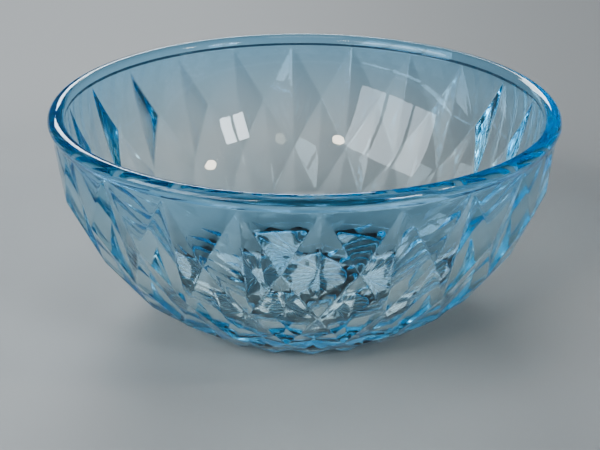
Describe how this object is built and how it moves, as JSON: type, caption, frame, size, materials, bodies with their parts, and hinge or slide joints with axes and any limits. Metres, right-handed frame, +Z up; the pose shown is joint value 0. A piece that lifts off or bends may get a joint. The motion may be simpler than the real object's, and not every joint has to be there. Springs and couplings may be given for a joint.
{
  "type": "pressed glass bowl",
  "caption": "Round pressed glass bowl with a smooth inside, a thick rounded rim, staggered lozenge facets outside and a sunburst underside.",
  "frame": {"origin": "centre of the bowl's standing plane, on the bowl's axis", "axes": "+Z up along the bowl's axis of symmetry; -Y faces the viewer through a line of full top lozenges"},
  "size_m": [0.225, 0.225, 0.097],
  "materials": {
    "pale_blue_glass": "clear pale ice-blue pressed glass, fire-polished"
  },
  "bodies": {
    "root": {"glass_bowl": "pale_blue_glass"}
  },
  "joints": []
}
